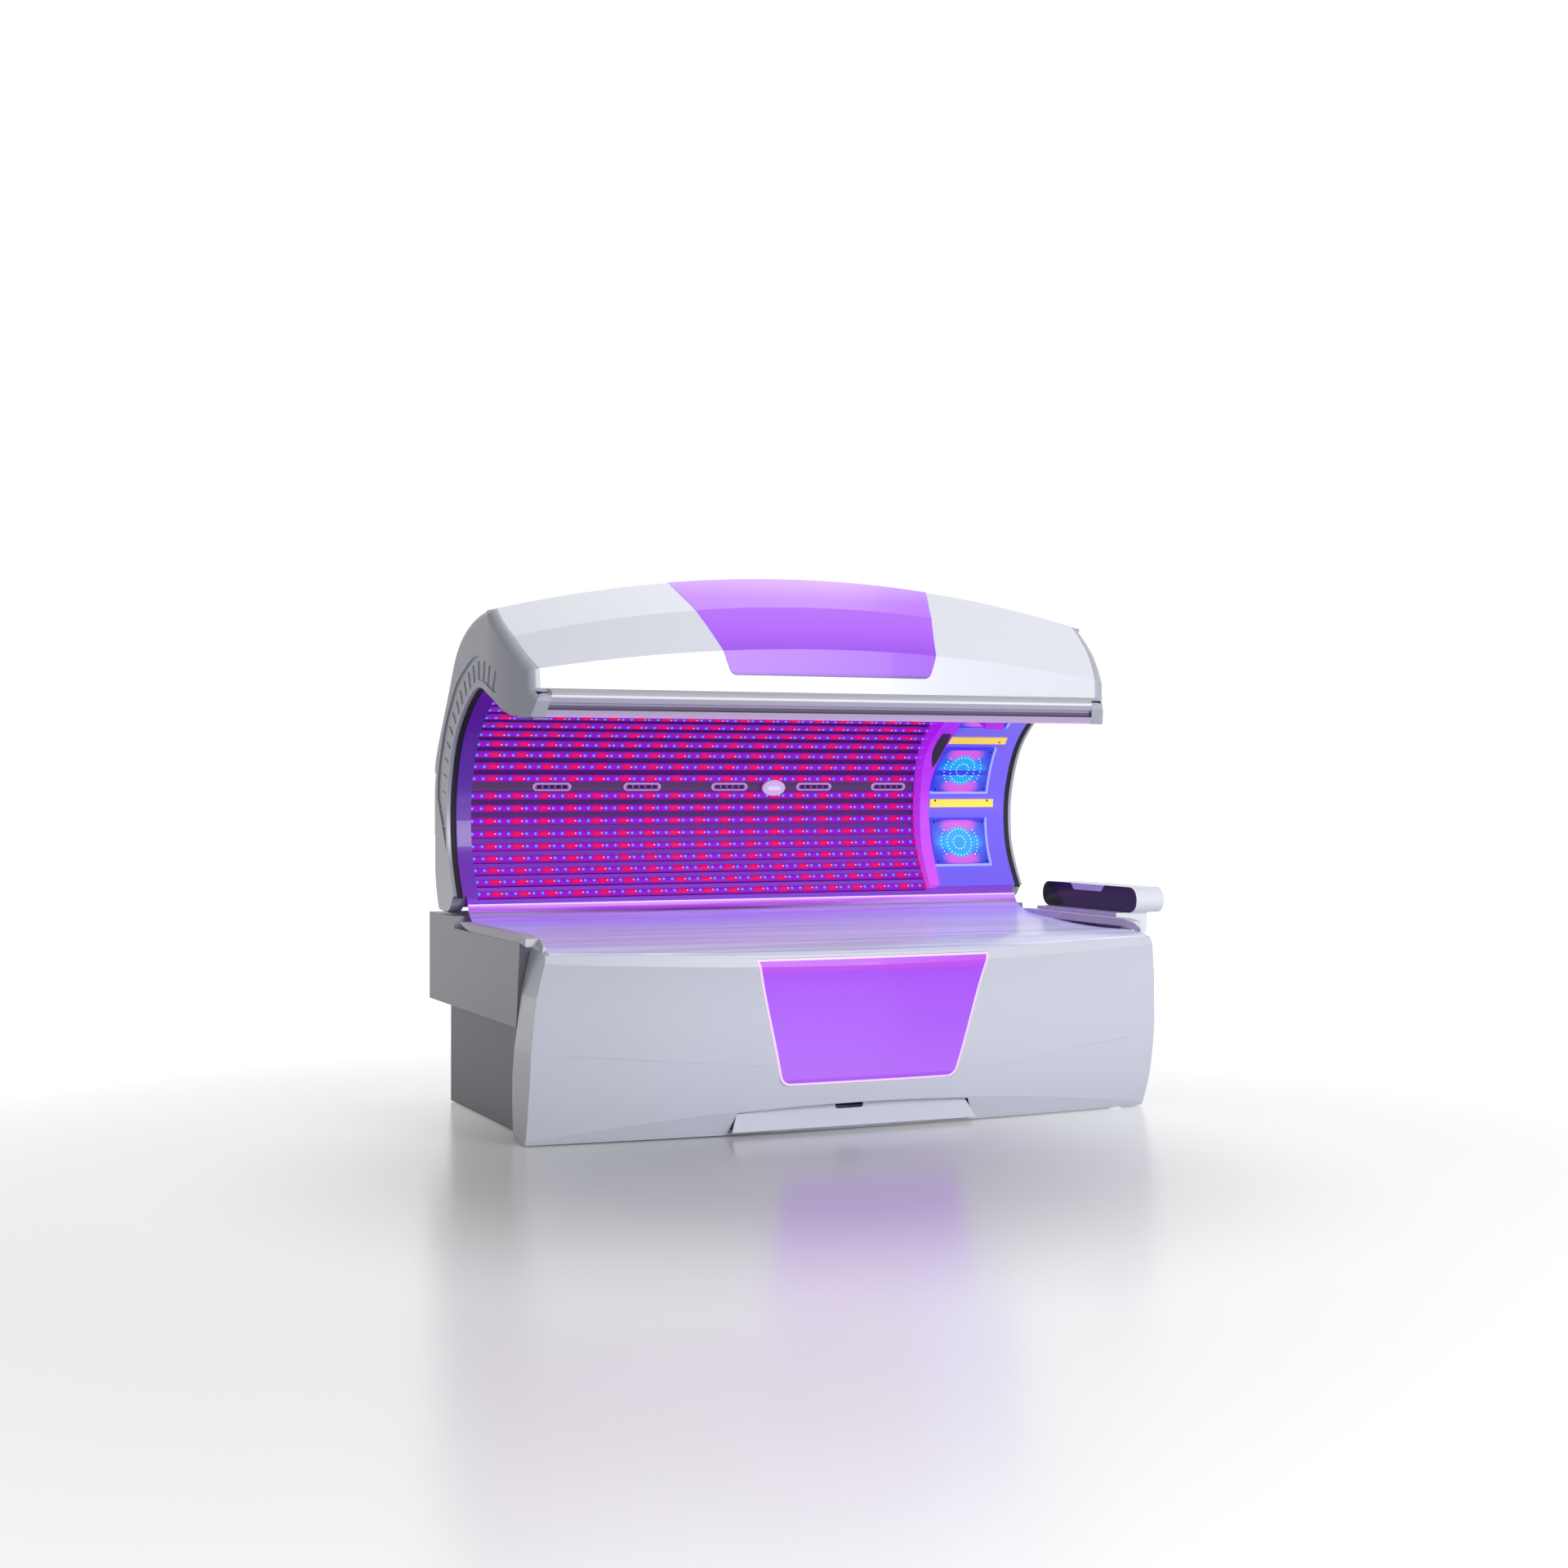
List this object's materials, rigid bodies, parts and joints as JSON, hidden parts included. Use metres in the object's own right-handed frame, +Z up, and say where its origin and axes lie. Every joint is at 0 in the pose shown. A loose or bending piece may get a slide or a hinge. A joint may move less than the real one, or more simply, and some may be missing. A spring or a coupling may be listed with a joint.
{
  "type": "clamshell tanning bed",
  "caption": "Clamshell tanning bed: crowned canopy hinged at the rear over a dished bench, LED bars, lit front panels, gas springs and a side console.",
  "frame": {"origin": "on the floor under the middle of the whole bed's footprint", "axes": "+X along the bed to the head end with the console, +Y from the open front to the hinge, +Z up"},
  "size_m": [2.329, 1.3185, 1.7695],
  "materials": {
    "driver_case": "natural anodised",
    "frame_steel": "satin powder coat",
    "zinc_steel": "zinc plated",
    "grey_metal": "satin metallic grey",
    "dark_metal": "satin dark",
    "silver_cap": "gloss metallic silver",
    "silver_shell": "gloss pearl silver",
    "white_shell": "gloss white",
    "white_plastic": "satin white",
    "lit_panel": "translucent violet diffuser, lit",
    "board": "white circuit board",
    "acrylic": "clear polished acrylic",
    "reflector": "bright violet-tinted reflector",
    "liner": "gloss violet",
    "led_bar": "clear tube over LED strip",
    "holder": "dark violet",
    "soft_seal": "matt black",
    "channel": "satin dark violet",
    "bezel": "gloss silver",
    "nozzle": "satin white",
    "keypad": "gloss pearl white",
    "button": "gloss white",
    "fin": "gloss lilac",
    "grille": "perforated black",
    "facial": "gloss blue-violet, lit",
    "module": "blue lamp module, lit",
    "clamp": "gloss yellow",
    "rail": "gloss lilac grey",
    "strip": "gloss lilac",
    "filter": "white filter fleece",
    "bush": "white acetal",
    "tube_black": "gloss black",
    "rod_chrome": "hard chrome",
    "pod": "gloss white",
    "screen": "gloss black-violet",
    "lid": "gloss white",
    "black_plastic": "matt black"
  },
  "bodies": {
    "base": {"base_frame": "frame_steel", "levelling_feet": "soft_seal", "plinth_panels": "dark_metal", "side_box_left": "grey_metal", "side_box_right": "grey_metal", "rear_panel": "grey_metal", "hinge_well": "dark_metal", "cable_gland": "black_plastic", "front_cover": "silver_shell", "front_light_panel": "lit_panel", "front_light_board": "board", "bench_acrylic": "acrylic", "side_rims": "white_plastic", "bench_reflector": "reflector", "bench_bars": "led_bar", "bench_holders": "holder", "hinge_bushes": "bush", "base_electrics": "driver_case", "fan_housings": "black_plastic", "console_pod": "pod", "console_screen": "screen"},
    "canopy": {"canopy_shell": "white_shell", "canopy_rear_cover": "white_plastic", "canopy_light_panel": "lit_panel", "canopy_light_board": "board", "canopy_liner": "liner", "canopy_bars": "led_bar", "canopy_frame": "frame_steel", "canopy_fan_housing": "black_plastic", "end_cap_left": "silver_cap", "end_cap_right": "silver_cap", "lip_rail": "rail", "lip_strip": "strip", "liner_gaskets": "soft_seal", "bar_holders": "holder", "air_channel": "channel", "nozzle_bezels": "bezel", "keypad_housing": "keypad", "speaker_fin": "fin", "speaker_grille": "grille", "facial_panel": "facial", "facial_modules": "module", "facial_clamps": "clamp", "hinge_shaft": "zinc_steel"},
    "gas_tube_left": {"gas_tube_left": "tube_black"},
    "gas_tube_right": {"gas_tube_right": "tube_black"},
    "gas_rod_left": {"gas_rod_left": "rod_chrome"},
    "gas_rod_right": {"gas_rod_right": "rod_chrome"},
    "tray": {"filter_tray": "silver_shell", "filter_pad": "filter"},
    "lid": {"console_lid": "lid"},
    "button": {"keypad_button": "button"},
    "base_fan_left": {"fan_rotor_left": "black_plastic"},
    "base_fan_right": {"fan_rotor_right": "black_plastic"},
    "canopy_fan": {"canopy_fan_rotor": "black_plastic"},
    "nozzle_1": {"air_nozzle_1": "nozzle"},
    "nozzle_2": {"air_nozzle_2": "nozzle"},
    "nozzle_3": {"air_nozzle_3": "nozzle"},
    "nozzle_4": {"air_nozzle_4": "nozzle"},
    "nozzle_5": {"air_nozzle_5": "nozzle"}
  },
  "joints": [
    {"name": "canopy_hinge", "type": "hinge", "parent": "base", "child": "canopy", "pos_m": [-0.0805, 0.4335, 0.742], "axis": [1, 0, 0], "range_deg": [0, 41], "stiffness_Nm_per_rad": 334.4, "springref_deg": -38.79},
    {"name": "gas_tube_swing_left", "type": "hinge", "parent": "base", "child": "gas_tube_left", "pos_m": [-1.0055, 0.3985, 0.19], "axis": [1, 0, 0], "range_deg": [0, 0.523]},
    {"name": "gas_rod_slide_left", "type": "slide", "parent": "gas_tube_left", "child": "gas_rod_left", "axis": [0, 0.1695, 0.9855], "range_m": [0, 0.04349]},
    {"name": "gas_tube_swing_right", "type": "hinge", "parent": "base", "child": "gas_tube_right", "pos_m": [0.8445, 0.3985, 0.19], "axis": [1, 0, 0], "range_deg": [0, 0.523]},
    {"name": "gas_rod_slide_right", "type": "slide", "parent": "gas_tube_right", "child": "gas_rod_right", "axis": [0, 0.1695, 0.9855], "range_m": [0, 0.04349]},
    {"name": "tray_slide", "type": "slide", "parent": "base", "child": "tray", "axis": [0, -1, 0], "range_m": [0, 0.12]},
    {"name": "lid_hinge", "type": "hinge", "parent": "base", "child": "lid", "pos_m": [1.1465, -0.0395, 0.7238], "axis": [0, 1, 0], "range_deg": [0, 92]},
    {"name": "keypad_press", "type": "slide", "parent": "canopy", "child": "button", "axis": [0, 0.9589, 0.2837], "range_m": [0, 0.0015], "stiffness_N_per_m": 600, "springref_m": -0.0008},
    {"name": "nozzle_tilt_1", "type": "hinge", "parent": "canopy", "child": "nozzle_1", "pos_m": [-0.7985, 0.41411, 1.07801], "axis": [1, 0, 0], "range_deg": [-20, 20]},
    {"name": "nozzle_tilt_2", "type": "hinge", "parent": "canopy", "child": "nozzle_2", "pos_m": [-0.4715, 0.41411, 1.07801], "axis": [1, 0, 0], "range_deg": [-20, 20]},
    {"name": "nozzle_tilt_3", "type": "hinge", "parent": "canopy", "child": "nozzle_3", "pos_m": [-0.1445, 0.41411, 1.07801], "axis": [1, 0, 0], "range_deg": [-20, 20]},
    {"name": "nozzle_tilt_4", "type": "hinge", "parent": "canopy", "child": "nozzle_4", "pos_m": [0.1825, 0.41411, 1.07801], "axis": [1, 0, 0], "range_deg": [-20, 20]},
    {"name": "nozzle_tilt_5", "type": "hinge", "parent": "canopy", "child": "nozzle_5", "pos_m": [0.4795, 0.41411, 1.07801], "axis": [1, 0, 0], "range_deg": [-20, 20]},
    {"name": "fan_spin_left", "type": "hinge", "parent": "base", "child": "base_fan_left", "pos_m": [-0.4805, -0.1415, 0.3], "axis": [0, 0, 1], "continuous": true},
    {"name": "fan_spin_right", "type": "hinge", "parent": "base", "child": "base_fan_right", "pos_m": [0.3195, -0.1415, 0.3], "axis": [0, 0, 1], "continuous": true},
    {"name": "canopy_fan_spin", "type": "hinge", "parent": "canopy", "child": "canopy_fan", "pos_m": [0.1695, 0.1285, 1.4743], "axis": [0, 0, 1], "continuous": true}
  ],
  "couplings": [
    {"joint": "gas_tube_swing_left", "follows": "canopy_hinge", "ratio": 0.0125},
    {"joint": "gas_rod_slide_left", "follows": "canopy_hinge", "m_per_rad": 0.05959},
    {"joint": "gas_tube_swing_right", "follows": "canopy_hinge", "ratio": 0.0125},
    {"joint": "gas_rod_slide_right", "follows": "canopy_hinge", "m_per_rad": 0.05959}
  ]
}
